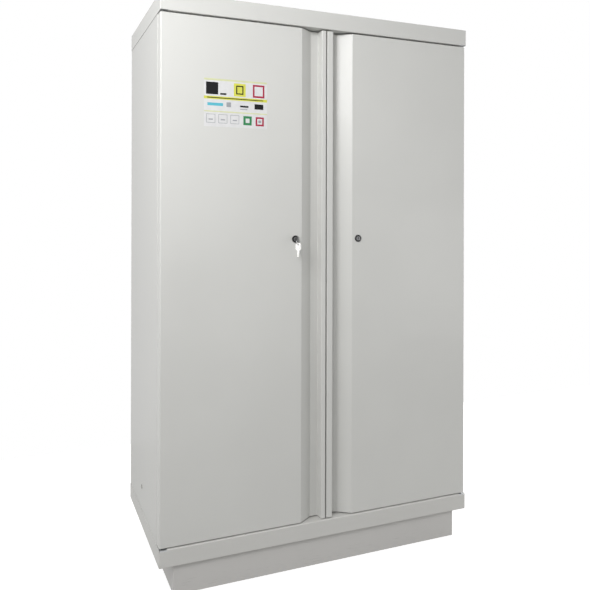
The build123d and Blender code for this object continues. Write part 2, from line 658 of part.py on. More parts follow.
strips = []
for place in upright_places:
    strip_x = (-LINER_IN, -LINER_IN + UPRIGHT_DEPTH)
    strip = block(strip_x, (place - UPRIGHT_WIDTH / 2, place + UPRIGHT_WIDTH / 2), upright_z)
    slots = []
    for number in range(slot_count):
        middle = slot_z(number)
        gap_y = (place - SLOT_WIDTH / 2, place + SLOT_WIDTH / 2)
        gap_z = (middle - SLOT_HEIGHT / 2, middle + SLOT_HEIGHT / 2)
        slots.append(block(strip_x, gap_y, gap_z))
    strip -= slots
    strips += [one(strip), one(flip(strip))]
save("shelf_uprights", Compound(strips))

# Shelf clips: small brackets hooked into the slots, four to a shelf
clips = []
for number in shelf_slots:
    for place in upright_places:
        low = slot_z(number) - SLOT_HEIGHT / 2
        face = -LINER_IN + UPRIGHT_DEPTH
        clip_y = (place - CLIP_WIDTH / 2, place + CLIP_WIDTH / 2)
        clip = block((-LINER_IN, face), clip_y, (low, low + CLIP_SHEET))
        clip += block((face, face + CLIP_SHEET), clip_y, (low, low + CLIP_HEIGHT))
        top = low + CLIP_HEIGHT
        clip += block((face, face + CLIP_REACH), clip_y, (top - CLIP_SHEET, top))
        clips += [one(clip), one(flip(clip))]
save("shelf_clips", Compound(clips))

# Tray shelves: shallow pans with turned-up lips that rest on the clips
shelf_x = inside((-LINER_IN, LINER_IN), UPRIGHT_DEPTH + CLIP_SHEET + SHELF_SIDE_GAP)
shelf_y = (shelf_room[0] + SHELF_FRONT_GAP, LINER_BACK - SHELF_REAR_GAP)
shelf_names = ("lower_shelf", "middle_shelf", "upper_shelf")
for name, number in zip(shelf_names, shelf_slots):
    low = slot_z(number) - SLOT_HEIGHT / 2 + CLIP_HEIGHT
    shelf = block(shelf_x, shelf_y, (low, low + SHELF_LIP))
    room_z = (low + SHELF_SHEET, low + SHELF_LIP)
    shelf -= block(inside(shelf_x, SHELF_SHEET), inside(shelf_y, SHELF_SHEET), room_z)
    save(name, shelf)

# Sump: a tray welded from a floor and four walls, with a slotted cover on two side legs
sump_x = inside((-LINER_IN, LINER_IN), SUMP_SIDE_GAP)
sump_z = (LINER_FLOOR, LINER_FLOOR + SUMP_HEIGHT)
sump_room = (sump_z[0] + SHELF_SHEET, sump_z[1])
room_x = inside(sump_x, SHELF_SHEET)
room_y = inside(shelf_y, SHELF_SHEET)
sump_wall = block((sump_x[0], room_x[0]), shelf_y, sump_room)
plates = [block(sump_x, shelf_y, (sump_z[0], sump_room[0])), sump_wall, one(flip(sump_wall))]
plates.append(block(room_x, (shelf_y[0], room_y[0]), sump_room))
plates.append(block(room_x, (room_y[1], shelf_y[1]), sump_room))
save("sump_tray", Compound(plates))
cover_x = inside(sump_x, SHELF_SHEET + SHELF_SIDE_GAP)
cover_y = (shelf_y[0] + SHELF_SHEET + COVER_FRONT_GAP, shelf_y[1] - SHELF_SHEET - SHELF_SIDE_GAP)
cover_z = (sump_z[0] + SHELF_SHEET, sump_z[1] + COVER_LIP)
cover = block(cover_x, cover_y, (cover_z[1] - SHELF_SHEET, cover_z[1]))
cover_leg_x = (cover_x[0], cover_x[0] + SHELF_SHEET)
cover_leg = block(cover_leg_x, cover_y, (cover_z[0], cover_z[1] - SHELF_SHEET))
column_step = (cover_x[1] - cover_x[0]) / COVER_COLUMNS
row_step = (cover_y[1] - cover_y[0]) / COVER_ROWS
slots = []
for column in range(COVER_COLUMNS):
    for row in range(COVER_ROWS):
        slot_x = cover_x[0] + (column + 0.5) * column_step
        slot_y = cover_y[0] + (row + 0.5) * row_step
        hole_x = (slot_x - COVER_SLOT / 2, slot_x + COVER_SLOT / 2)
        hole_y = (slot_y - COVER_SLOT_HEIGHT / 2, slot_y + COVER_SLOT_HEIGHT / 2)
        slots.append(block(hole_x, hole_y, (cover_z[1] - SHELF_SHEET, cover_z[1])))
save("sump_cover", Compound([one(cover - slots), cover_leg, one(flip(cover_leg))]))

# Exhaust spigot: a flanged tube on the roof that passes down through the top wall to a grille
spigot = upright(0, spigot_y, (LINER_CEILING, HEIGHT + SPIGOT_HEIGHT), SPIGOT_RADIUS)
half = SPIGOT_FLANGE / 2
spigot += block((-half, half), (spigot_y - half, spigot_y + half), (HEIGHT, HEIGHT + SPIGOT_WALL))
spigot -= upright(0, spigot_y, (LINER_CEILING, HEIGHT + SPIGOT_HEIGHT), SPIGOT_RADIUS - SPIGOT_WALL)
save("exhaust_spigot", spigot)
grille_z = (LINER_CEILING - GRILLE_THICKNESS, LINER_CEILING)
half = GRILLE_SIDE / 2
grille = block((-half, half), (spigot_y - half, spigot_y + half), grille_z)
for number in range(-2, 3):
    middle = number * 2 * GRILLE_SLOT
    reach = (SPIGOT_RADIUS ** 2 - middle ** 2) ** 0.5 - GRILLE_SLOT
    slot_y = (spigot_y + middle - GRILLE_SLOT / 2, spigot_y + middle + GRILLE_SLOT / 2)
    grille -= block((-reach, reach), slot_y, grille_z)
save("vent_grille", grille)

# Earthing insert: a flanged blind nut in the left side panel
flange = extrude(Plane.YZ * RegularPolygon(EARTH_FLANGE, EARTH_SIDES), -EARTH_PROUD)
body = extrude(Plane.YZ * RegularPolygon(EARTH_BODY, 6), EARTH_LENGTH)
insert = Pos(-SIDE_OUT, earth_y, EARTH_HEIGHT) * (flange + body)
insert -= across((-SIDE_OUT - EARTH_PROUD, -SIDE_OUT + EARTH_LENGTH), earth_y, EARTH_HEIGHT, EARTH_RADIUS)
save("earthing_insert", insert)
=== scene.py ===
import json
import math

import bmesh
import bpy
from mathutils import Matrix, Vector

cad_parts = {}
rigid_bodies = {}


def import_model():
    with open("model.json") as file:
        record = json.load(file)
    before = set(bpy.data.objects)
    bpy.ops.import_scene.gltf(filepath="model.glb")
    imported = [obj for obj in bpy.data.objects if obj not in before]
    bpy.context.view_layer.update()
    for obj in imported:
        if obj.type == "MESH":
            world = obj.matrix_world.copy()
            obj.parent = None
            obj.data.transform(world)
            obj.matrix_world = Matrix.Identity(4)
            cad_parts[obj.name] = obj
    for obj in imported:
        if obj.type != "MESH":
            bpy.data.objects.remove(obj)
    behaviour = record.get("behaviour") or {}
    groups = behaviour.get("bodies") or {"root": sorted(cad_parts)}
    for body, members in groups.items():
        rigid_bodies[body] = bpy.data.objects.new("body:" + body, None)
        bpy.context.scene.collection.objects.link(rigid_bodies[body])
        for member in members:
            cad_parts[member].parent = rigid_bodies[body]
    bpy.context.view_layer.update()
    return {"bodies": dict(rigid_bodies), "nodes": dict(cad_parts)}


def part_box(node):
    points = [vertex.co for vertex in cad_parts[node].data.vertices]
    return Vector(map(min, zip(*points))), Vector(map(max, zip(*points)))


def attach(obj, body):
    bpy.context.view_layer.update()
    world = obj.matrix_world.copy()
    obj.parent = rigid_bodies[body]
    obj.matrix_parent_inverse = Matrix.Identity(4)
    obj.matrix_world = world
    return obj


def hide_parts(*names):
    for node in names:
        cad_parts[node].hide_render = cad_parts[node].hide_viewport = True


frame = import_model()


# Side panels and back panel. Folded 1.5 mm steel sheet with a baked light grey powder coat, which
# has a fine orange peel and is a little uneven over a large panel. The back sheet closes the body
# behind the two side channels.
def step(tree, kind, feeds=(), **settings):
    """Adds one step of a finish, fed with numbers, colours or the outputs of earlier steps."""
    node = tree.nodes.new(kind)
    for key, value in settings.items():
        setattr(node, key, value)
    for place, feed in dict(feeds).items():
        if isinstance(feed, bpy.types.NodeSocket):
            tree.links.new(feed, node.inputs[place])
        else:
            node.inputs[place].default_value = feed
    return node


def clouds(tree, place, per_metre, detail=2.0):
    """Soft random patches, so many to the metre, with finer ones in them."""
    feeds = {"Vector": place, "Scale": per_metre, "Detail": detail}
    return step(tree, "ShaderNodeTexNoise", feeds).outputs["Fac"]


def graded(tree, value, low, high, start=0.0, end=1.0):
    """A value moved smoothly from one range to another and held at its ends."""
    feeds = {"Value": value, "From Min": low, "From Max": high, "To Min": start, "To Max": end}
    return step(tree, "ShaderNodeMapRange", feeds, interpolation_type="SMOOTHSTEP").outputs["Result"]


def spread(tree, cloud, least=0.0, most=1.0):
    """Random patches, nearly all between 0.3 and 0.7, spread out from one value to another."""
    return graded(tree, cloud, 0.3, 0.7, least, most)


def times(tree, first, second):
    """Two masks or numbers multiplied."""
    return step(tree, "ShaderNodeMath", {0: first, 1: second}, operation="MULTIPLY").outputs["Value"]


def plus(tree, first, second):
    """Two values or numbers added."""
    return step(tree, "ShaderNodeMath", {0: first, 1: second}, operation="ADD").outputs["Value"]


def laid_over(tree, mask, under, over):
    """One colour laid over another where the mask is high."""
    return step(tree, "ShaderNodeMix", {"Factor": mask, 6: under, 7: over}, data_type="RGBA").outputs[2]


def lightened(tree, colour, amount):
    """A colour made lighter or darker by a factor."""
    return step(tree, "ShaderNodeHueSaturation", {"Color": colour, "Value": amount}).outputs["Color"]


def finish_group(name, **inputs):
    """A shared finish: its group, its named inputs, and the place on the piece that it works from."""
    group = bpy.data.node_groups.new(name, "ShaderNodeTree")
    for label, value in inputs.items():
        kind = "NodeSocketColor" if isinstance(value, tuple) else "NodeSocketFloat"
        group.interface.new_socket(label, in_out="INPUT", socket_type=kind).default_value = value
    group.interface.new_socket("Color", in_out="OUTPUT", socket_type="NodeSocketColor")
    group.interface.new_socket("Roughness", in_out="OUTPUT", socket_type="NodeSocketFloat")
    group.interface.new_socket("Height", in_out="OUTPUT", socket_type="NodeSocketFloat")
    place = step(group, "ShaderNodeTexCoord").outputs["Object"]
    return group, step(group, "NodeGroupInput").outputs, place


def put_out(group, colour, roughness, height):
    """Leads a finish's colour, roughness and height out of its group."""
    step(group, "NodeGroupOutput", {"Color": colour, "Roughness": roughness, "Height": height})


def surface(name, group, settings, depth, plain=()):
    """A material with one shared finish at its own values, its bump depth, and the shader's plain numbers."""
    material = bpy.data.materials.new(name)
    material.use_nodes = True
    tree = material.node_tree
    shader = tree.nodes["Principled BSDF"]
    finish = tree.nodes.new("ShaderNodeGroup")
    finish.node_tree = group
    for label, value in settings.items():
        finish.inputs[label].default_value = (*value, 1) if isinstance(value, tuple) else value
    bump = step(tree, "ShaderNodeBump", {"Height": finish.outputs["Height"], "Distance": depth})
    tree.links.new(finish.outputs["Color"], shader.inputs["Base Color"])
    tree.links.new(finish.outputs["Roughness"], shader.inputs["Roughness"])
    tree.links.new(bump.outputs["Normal"], shader.inputs["Normal"])
    for label, value in dict(plain).items():
        shader.inputs[label].default_value = value
    return material


# Pale colour of the layer on upward faces: dust, and also a painted highlight on their tops.
DUST_AND_HIGHLIGHT_COLOUR = (0.74, 0.73, 0.705, 1)
SCUFF_COLOUR = (0.16, 0.155, 0.15, 1)
SCUFFED_UP_TO, SCUFFS_END = 0.01, 0.09
powder_coat, coat_in, coat_place = finish_group(
    "powder_coat", Paint=(0.57, 0.57, 0.55, 1), Peel=420.0, Unevenness=0.04, Dullness=0.42, Dust=0.1,
    Scuffs=0.0)
patches = spread(powder_coat, clouds(powder_coat, coat_place, per_metre=2.2, detail=3.0), -0.5, 0.5)
specks = clouds(powder_coat, coat_place, per_metre=900.0, detail=1.0)
specks = graded(powder_coat, specks, 0.35, 0.65, -0.2, 0.2)
unevenness = times(powder_coat, coat_in["Unevenness"], plus(powder_coat, patches, specks))
coat_colour = lightened(powder_coat, coat_in["Paint"], plus(powder_coat, unevenness, 1.0))
# Upward faces get a pale layer in patches. It is partly dust and partly a painted highlight that lightens
# their tops.
coat_facing = step(powder_coat, "ShaderNodeNewGeometry").outputs["Normal"]
facing_up = step(powder_coat, "ShaderNodeSeparateXYZ", {0: coat_facing}).outputs["Z"]
dust_and_highlight_patches = clouds(powder_coat, coat_place, per_metre=14.0, detail=6.0)
upward_dust_and_highlight = times(powder_coat, graded(powder_coat, facing_up, 0.6, 1.0),
                graded(powder_coat, dust_and_highlight_patches, 0.3, 0.75))
dust_and_highlight = times(powder_coat, upward_dust_and_highlight, coat_in["Dust"])
coat_colour = laid_over(powder_coat, dust_and_highlight, coat_colour, DUST_AND_HIGHLIGHT_COLOUR)
wiped = step(powder_coat, "ShaderNodeMapping", {"Vector": coat_place, "Scale": (5.0, 5.0, 90.0)})
above_floor = step(powder_coat, "ShaderNodeSeparateXYZ", {0: coat_place}).outputs["Z"]
scuff_marks = clouds(powder_coat, wiped.outputs["Vector"], per_metre=3.0, detail=5.0)
scuffed = times(powder_coat, graded(powder_coat, scuff_marks, 0.6, 0.72),
                graded(powder_coat, above_floor, SCUFFED_UP_TO, SCUFFS_END, 1.0, 0.0))
scuffed = times(powder_coat, scuffed, coat_in["Scuffs"])
coat_colour = laid_over(powder_coat, scuffed, coat_colour, SCUFF_COLOUR)
coat_dullness = plus(powder_coat, coat_in["Dullness"], times(powder_coat, patches, 0.05))
coat_dullness = plus(powder_coat, coat_dullness, times(powder_coat, dust_and_highlight, 0.4))
put_out(powder_coat, coat_colour, coat_dullness, clouds(powder_coat, coat_place, coat_in["Peel"]))


def coated_steel(name, paint, **settings):
    """Powder-coated sheet steel of one colour."""
    return surface(name, powder_coat, {"Paint": paint, **settings}, depth=0.00006,
                   plain={"Specular IOR Level": 0.4, "Coat Weight": 0.1, "Coat Roughness": 0.07})


def dress(material, *nodes):
    """Gives CAD nodes a finish in place of their plain one."""
    for node in nodes:
        slots = frame["nodes"][node].data.materials
        slots.clear()
        slots.append(material)


body_coat = coated_steel("body_coat", (0.575, 0.575, 0.555))
dress(body_coat, "left_side_panel", "right_side_panel", "back_panel")


# Top cap. A folded pan of the same coated sheet, whose front band stands 6 mm proud of the doors.
# Fine dust settles on its roof, and the same pale layer also paints a highlight on its upward faces.
SHADING_BREAK, SHARP_EDGE = math.radians(38), math.radians(50)


def set_out(name, data):
    """A new object, set out in the scene."""
    thing = bpy.data.objects.new(name, data)
    bpy.context.scene.collection.objects.link(thing)
    return thing


def in_scene(name, shape, finish, body):
    """Turns a finished shape into a piece of the cabinet that rides on one body."""
    mesh = bpy.data.meshes.new(name)
    bmesh.ops.recalc_face_normals(shape, faces=shape.faces)
    for face in shape.faces:
        face.smooth = True
    shape.to_mesh(mesh)
    shape.free()
    mesh.set_sharp_from_angle(angle=SHADING_BREAK)
    mesh.materials.append(finish)
    piece = set_out(name, mesh)
    piece.modifiers.new("even_shading", "WEIGHTED_NORMAL").keep_sharp = True
    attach(piece, body)
    return piece


def is_front_fold(line):
    """Whether an edge is an outer fold between a piece's front and its level top or bottom."""
    if len(line.link_faces) != 2:
        return False
    front, level = sorted((face.normal for face in line.link_faces), key=lambda way: abs(way.z))
    square = abs(level.z) > 0.9 and abs(front.z) < 0.1
    return square and front.y < -0.3 and line.calc_face_angle_signed() > 0


def rounded(shape, lines, radius, segments):
    """Rounds some edges of a shape to a radius."""
    bmesh.ops.bevel(shape, geom=lines, offset=radius, segments=segments, profile=0.5, affect="EDGES",
                    clamp_overlap=True, offset_type="OFFSET")


def broken_edges(node, finish, body, edge=0.0004, fold=0.0):
    """A CAD piece again, with its sharp edges broken, and its long front folds rounded to a radius."""
    shape = bmesh.new()
    shape.from_mesh(frame["nodes"][node].data)
    bmesh.ops.remove_doubles(shape, verts=shape.verts, dist=1e-6)
    bmesh.ops.dissolve_limit(shape, angle_limit=math.radians(0.5), verts=shape.verts, edges=shape.edges)
    if fold:
        rounded(shape, [line for line in shape.edges if is_front_fold(line)], fold, 3)
    shared = [line for line in shape.edges if len(line.link_faces) == 2]
    rounded(shape, [line for line in shared if line.calc_face_angle() > SHARP_EDGE], edge, 2)
    piece = in_scene(f"{node}_formed", shape, finish, body)
    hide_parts(node)


cap_coat = coated_steel("cap_coat", (0.575, 0.575, 0.555), Dust=0.25)
broken_edges("top_cap", cap_coat, "cabinet")


# Base tray. The same kind of pan turned over, whose top flange shows as a bright line under the doors,
# bent from one sheet with closed corners. Pale dust on its upward faces is also a painted highlight there.
tray_coat = coated_steel("tray_coat", (0.56, 0.555, 0.535), Dust=0.35)
broken_edges("base_tray", tray_coat, "cabinet")


# Plinth. A folded frame that carries the cabinet, with light scuffs low down where shoes and
# cleaning tools touch it.
plinth_coat = coated_steel("plinth_coat", (0.53, 0.52, 0.505), Dullness=0.46, Scuffs=0.3)
broken_edges("plinth", plinth_coat, "cabinet")


# Steel fittings: levelling feet, pivots, door closers, and the rivets that hold the back sheet to the
# side channels. Zinc-plated steel, with a faint spangle and fine rolling lines.
zinc_plate, zinc_in, zinc_place = finish_group(
    "zinc_plate", Metal=(0.55, 0.56, 0.57, 1), Spangle=160.0, Dullness=0.38)
flakes = step(zinc_plate, "ShaderNodeTexVoronoi", {"Vector": zinc_place, "Scale": zinc_in["Spangle"]})
flake_tone = step(zinc_plate, "ShaderNodeSeparateColor", {0: flakes.outputs["Color"]}).outputs["Red"]
flake_light = graded(zinc_plate, flake_tone, 0.0, 1.0, 0.88, 1.08)
along_roll = step(zinc_plate, "ShaderNodeMapping", {"Vector": zinc_place, "Scale": (60.0, 60.0, 1.5)})
rolled = clouds(zinc_plate, along_roll.outputs["Vector"], per_metre=30.0, detail=4.0)
zinc_dullness = plus(zinc_plate, zinc_in["Dullness"], times(zinc_plate, spread(zinc_plate, rolled), 0.16))
put_out(zinc_plate, lightened(zinc_plate, zinc_in["Metal"], flake_light), zinc_dullness, rolled)


def plated_steel(name, metal, dullness=0.38, spangle=160.0):
    """Zinc-plated, nickel-plated or bare steel."""
    return surface(name, zinc_plate, {"Metal": metal, "Dullness": dullness, "Spangle": spangle},
                   depth=0.00003, plain={"Metallic": 1.0})


def skinned(shape, rings):
    """Closes the faces between each ring of points and the next."""
    for first, second in zip(rings, rings[1:]):
        for number in range(len(first)):
            after = (number + 1) % len(first)
            shape.faces.new((first[number], first[after], second[after], second[number]))


# A head's rings from its foot up: shares of its radius and its rise, and whether the ring is six-sided.
DOME = [(1.0, -0.1, False), (1.0, 0.35, False), (0.92, 0.68, False), (0.74, 0.9, False), (0.5, 1.0, False)]
SOCKET = [(0.46, 1.0, True), (0.44, 0.3, True)]
PLAIN_TOP = [(0.2, 1.03, False)]
HEAD_SIDES, HALF_FLAT = 24, math.radians(30)


def fixings(name, places, way, finish, body, radius, rise, socket=True):
    """A row of domed heads, screws with a six-sided socket or plain rivets, proud of a face."""
    shape = bmesh.new()
    turn = Vector(way).to_track_quat("Z", "X").to_matrix()
    for place in places:
        rings = []
        for share, height, six_sided in DOME + (SOCKET if socket else PLAIN_TOP):
            ring = []
            for number in range(HEAD_SIDES):
                angle = math.radians(360 * number / HEAD_SIDES)
                reach = share * radius
                if six_sided:
                    reach *= math.cos(HALF_FLAT) / math.cos(angle % (2 * HALF_FLAT) - HALF_FLAT)
                point = turn @ Vector((reach * math.cos(angle), reach * math.sin(angle), height * rise))
                ring.append(shape.verts.new(Vector(place) + point))
            rings.append(ring)
        skinned(shape, rings)
        shape.faces.new(rings[-1])
        shape.faces.new(reversed(rings[0]))
    in_scene(name, shape, finish, body)


fitting_zinc = plated_steel("fitting_zinc", (0.6, 0.61, 0.62))
dress(fitting_zinc, "upper_pivots", "door_closers", "left_door_pivots", "right_door_pivots")
dress(plated_steel("foot_zinc", (0.42, 0.42, 0.43), dullness=0.5), "levelling_feet")
rivet_zinc = plated_steel("rivet_zinc", (0.36, 0.365, 0.37), dullness=0.45)
SIDE_RIVET_X, SIDE_RIVET_START, SIDE_RIVET_PITCH = 0.5865, 0.215, 0.2357
END_RIVET_START, END_RIVET_PITCH, END_RIVET_HEIGHTS = -0.39, 0.195, (0.185, 1.895)
back_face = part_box("back_panel")[1][1]
rivet_places = [(side * SIDE_RIVET_X, back_face, SIDE_RIVET_START + SIDE_RIVET_PITCH * row)
                for side in (-1, 1) for row in range(8)]
rivet_places += [(END_RIVET_START + END_RIVET_PITCH * column, back_face, height)
                 for column in range(5) for height in END_RIVET_HEIGHTS]
fixings("back_rivets", rivet_places, (0, 1, 0), rivet_zinc, "cabinet", radius=0.006,
        rise=0.0013, socket=False)


# Front frame and fire strips. Angle rails round the opening in the body's colour, with grey-black
# graphite strips that swell in heat and close the gap to the doors.
frame_coat = coated_steel("frame_coat", (0.56, 0.56, 0.545), Dullness=0.46)
for rail in ("frame_head", "frame_sill", "left_frame_stile", "right_frame_stile"):
    broken_edges(rail, frame_coat, "cabinet")
BLOOM_COLOUR = (0.16, 0.16, 0.155, 1)
rubber_skin, rubber_in, rubber_place = finish_group(
    "rubber_skin", Rubber=(0.02, 0.02, 0.022, 1), Bloom=0.25, Dullness=0.55)
bloom_patches = clouds(rubber_skin, rubber_place, per_metre=25.0, detail=5.0)
bloom = times(rubber_skin, rubber_in["Bloom"], graded(rubber_skin, bloom_patches, 0.4, 0.8))
rubber_grain = clouds(rubber_skin, rubber_place, per_metre=700.0, detail=3.0)
put_out(rubber_skin, laid_over(rubber_skin, bloom, rubber_in["Rubber"], BLOOM_COLOUR),
        plus(rubber_skin, rubber_in["Dullness"], bloom), rubber_grain)
strip_graphite = surface("strip_graphite", rubber_skin,
                         {"Rubber": (0.05, 0.05, 0.052), "Bloom": 0.5}, depth=0.0001)
dress(strip_graphite, "frame_fire_strips")


# Insulation and lining boards. Pale mineral boards fill the walls, and boards faced with light grey
# laminate line the compartment.
board_face, board_in, board_place = finish_group(
    "board_face", Face=(0.6, 0.58, 0.52, 1), Fibres=300.0, Dullness=0.85)
fibres = clouds(board_face, board_place, board_in["Fibres"], detail=4.0)
fibre_tone = spread(board_face, fibres, 0.97, 1.03)
board_tone = spread(board_face, clouds(board_face, board_place, per_metre=5.0, detail=4.0), 0.96, 1.03)
board_tone = times(board_face, board_tone, fibre_tone)
board_dullness = plus(board_face, board_in["Dullness"], spread(board_face, fibres, -0.05, 0.05))
put_out(board_face, lightened(board_face, board_in["Face"], board_tone), board_dullness, fibres)
mineral_board = surface("mineral_board", board_face, {"Face": (0.62, 0.6, 0.54), "Fibres": 260.0},
                        depth=0.0003)
laminate = surface("laminate_lining", board_face,
                   {"Face": (0.66, 0.66, 0.645), "Fibres": 900.0, "Dullness": 0.42}, depth=0.00003)
dress(mineral_board, "left_insulation", "right_insulation", "back_insulation", "top_insulation",
      "bottom_insulation", "left_door_core", "right_door_core", "left_tongue_board", "right_tongue_board")
dress(laminate, "left_liner", "right_liner", "back_liner", "top_liner", "bottom_liner")


# Shelf uprights and clips. Slotted zinc-plated strips, screwed to the side linings between their
# slots, with a pressed bracket under each corner of a shelf.
UPRIGHT_WIDTH, UPRIGHT_DEPTH = 0.025, 0.003
LOWEST_SCREW, SCREW_PITCH = 0.4365, 0.4
broken_edges("shelf_uprights", fitting_zinc, "cabinet", edge=0.0003)
broken_edges("shelf_clips", fitting_zinc, "cabinet", edge=0.0003)
strip_low, strip_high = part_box("shelf_uprights")
strip_middles = (strip_low[1] + UPRIGHT_WIDTH / 2, strip_high[1] - UPRIGHT_WIDTH / 2)
for side, strip_face in ((1, strip_low[0] + UPRIGHT_DEPTH), (-1, strip_high[0] - UPRIGHT_DEPTH)):
    places = [(strip_face, middle, LOWEST_SCREW + SCREW_PITCH * row)
              for middle in strip_middles for row in range(4)]
    fixings(f"upright_screws_{'left' if side == 1 else 'right'}", places, (side, 0, 0), fitting_zinc,
            "cabinet", radius=0.0042, rise=0.0018)


# Tray shelves and sump. Shallow pans of coated sheet with turned-up lips, and a deep welded tray
# on the floor with a slotted cover.
# The shelves' upward faces get a little pale dust, which is partly a painted highlight.
shelf_coat = coated_steel("shelf_coat", (0.5, 0.505, 0.5), Dust=0.12)
for tray in ("lower_shelf", "middle_shelf", "upper_shelf", "sump_cover"):
    broken_edges(tray, shelf_coat, "cabinet", edge=0.0003)
dress(shelf_coat, "sump_tray")


# Exhaust spigot and grille. A flanged tube of coated steel on the roof that takes an air duct,
# screwed down at its corners, with a slotted grille below it in the ceiling.
FLANGE_SHEET = 0.0015
SPIGOT_SCREW_REACH, GRILLE_SCREW_SHARE = 0.046, 0.87
# The spigot's upward faces get pale dust, which is partly a painted highlight.
spigot_coat = coated_steel("spigot_coat", (0.56, 0.56, 0.545), Dust=0.25)
broken_edges("exhaust_spigot", spigot_coat, "cabinet", edge=0.0003)
broken_edges("vent_grille", spigot_coat, "cabinet", edge=0.0003)
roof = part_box("top_cap")[1][2]
spigot_y = (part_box("exhaust_spigot")[0][1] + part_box("exhaust_spigot")[1][1]) / 2
corners = [(x * SPIGOT_SCREW_REACH, spigot_y + y * SPIGOT_SCREW_REACH) for x in (-1, 1) for y in (-1, 1)]
fixings("spigot_screws", [(x, y, roof + FLANGE_SHEET) for x, y in corners], (0, 0, 1), fitting_zinc,
        "cabinet", radius=0.004, rise=0.002)
grille_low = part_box("vent_grille")[0][2]
grille_places = [(x * GRILLE_SCREW_SHARE, spigot_y + (y - spigot_y) * GRILLE_SCREW_SHARE, grille_low)
                 for x, y in corners]
fixings("grille_screws", grille_places, (0, 0, -1), fitting_zinc, "cabinet",
        radius=0.003, rise=0.0015)


# Earthing nut. A flanged steel blind nut set flush into the left side, with the thread of an
# M8 screw cut in its bore.
BORE_RADIUS, CREST_RADIUS = 0.00399, 0.0034
THREAD_PITCH, THREAD_START, PLAIN_ENDS = 0.00125, 0.0012, 0.003
STEPS_A_TURN = 24
nut_steel = plated_steel("nut_steel", (0.3, 0.29, 0.27), dullness=0.35, spangle=900.0)
broken_edges("earthing_insert", nut_steel, "cabinet", edge=0.0003)
nut_low, nut_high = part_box("earthing_insert")
nut_y, nut_z = (nut_low[1] + nut_high[1]) / 2, (nut_low[2] + nut_high[2]) / 2
thread = bmesh.new()
thread_form = ((BORE_RADIUS, -0.45), (CREST_RADIUS, -0.06), (CREST_RADIUS, 0.06), (BORE_RADIUS, 0.45))
turns = int((nut_high[0] - nut_low[0] - PLAIN_ENDS) / THREAD_PITCH)
sections = []
for number in range(turns * STEPS_A_TURN + 1):
    angle = math.radians(360 * number / STEPS_A_TURN)
    along = nut_low[0] + THREAD_START + THREAD_PITCH * number / STEPS_A_TURN
    section = []
    for reach, shift in thread_form:
        section.append(thread.verts.new((along + shift * THREAD_PITCH, nut_y + reach * math.cos(angle),
                                         nut_z + reach * math.sin(angle))))
    sections.append(section)
skinned(thread, sections)
thread.faces.new(sections[0])
thread.faces.new(sections[-1])
in_scene("earthing_thread_turns", thread, nut_steel, "cabinet")


# Door skins. Each is one folded sheet with the grip channel pressed in along its closing edge, and
# its top and bottom edges are folded back over the pan behind it.
door_coat = coated_steel("door_coat", (0.58, 0.58, 0.56))
for hand in ("left", "right"):
    broken_edges(f"{hand}_door_skin", door_coat, f"{hand}_door", fold=0.0018)


# Inner pans and seals. A pan of coated sheet closes the back of the door and carries the tongue that
# enters the frame, riveted along its edges, with a black rubber gasket on three sides.
PAN_RIVET_REACHES = (0.49, 0.055)
LOWEST_PAN_RIVET, PAN_RIVET_PITCH = 0.26, 0.2275
pan_coat = coated_steel("pan_coat", (0.56, 0.56, 0.545), Dullness=0.46)
seal_rubber = surface("seal_rubber", rubber_skin, {"Rubber": (0.018, 0.018, 0.02)}, depth=0.0001)
for hand, side in (("left", -1), ("right", 1)):
    broken_edges(f"{hand}_door_inner_pan", pan_coat, f"{hand}_door")
    broken_edges(f"{hand}_door_seals", seal_rubber, f"{hand}_door", edge=0.0008)
    tongue_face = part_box(f"{hand}_door_inner_pan")[1][1]
    places = [(side * reach, tongue_face, LOWEST_PAN_RIVET + PAN_RIVET_PITCH * row)
              for reach in PAN_RIVET_REACHES for row in range(8)]
    fixings(f"{hand}_pan_rivets", places, (0, 1, 0), pan_coat, f"{hand}_door",
            radius=0.004, rise=0.0011, socket=False)


# Door label. A thin satin film on the left door, printed with plain bands and blocks of colour on a
# white ground.
LABEL_LEFT, LABEL_BOTTOM = -0.4527, 1.549
LABEL_WIDTH, LABEL_HEIGHT = 0.2235, 0.161
FILM, BLOCK, OVERPRINT, SUNK = 0.00015, 0.00022, 0.00026, 0.0001
label_print, label_in, label_place = finish_group("label_print", Ink=(0.8, 0.8, 0.8, 1), Dullness=0.3)
ink_cloud = clouds(label_print, label_place, per_metre=60.0, detail=3.0)
ink_tone = spread(label_print, ink_cloud, 0.97, 1.03)
label_dullness = plus(label_print, label_in["Dullness"], times(label_print, ink_tone, 0.02))
film_grain = clouds(label_print, label_place, per_metre=1500.0, detail=1.0)
put_out(label_print, lightened(label_print, label_in["Ink"], ink_tone), label_dullness, film_grain)
inks = {"white": (0.63, 0.63, 0.635), "pale_yellow": (0.58, 0.6, 0.36), "yellow": (0.58, 0.58, 0.09),
        "black": (0.006, 0.006, 0.007), "grey": (0.3, 0.31, 0.33), "crimson": (0.34, 0.025, 0.06),
        "green": (0.035, 0.2, 0.08), "blue": (0.1, 0.42, 0.52)}
label = bmesh.new()
label_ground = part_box("left_door_skin")[0][1]


def printed(ink, left, right, bottom, top, lift=BLOCK, line=0.0):
    """A block of one ink, or a frame of a given line width, measured from the label's lower left corner."""
    bars = [(left, right, bottom, top)]
    if line:
        bars = [(left, right, bottom, bottom + line), (left, right, top - line, top),
                (left, left + line, bottom + line, top - line),
                (right - line, right, bottom + line, top - line)]
    for x0, x1, z0, z1 in bars:
        front = [label.verts.new((LABEL_LEFT + x, label_ground - lift, LABEL_BOTTOM + z))
                 for x, z in ((x0, z0), (x1, z0), (x1, z1), (x0, z1))]
        rear = [label.verts.new((corner.co.x, label_ground + SUNK, corner.co.z)) for corner in front]
        faces = [label.faces.new(front)]
        for number in range(4):
            after = (number + 1) % 4
            faces.append(label.faces.new((front[number], rear[number], rear[after], front[after])))
        for face in faces:
            face.material_index = list(inks).index(ink)


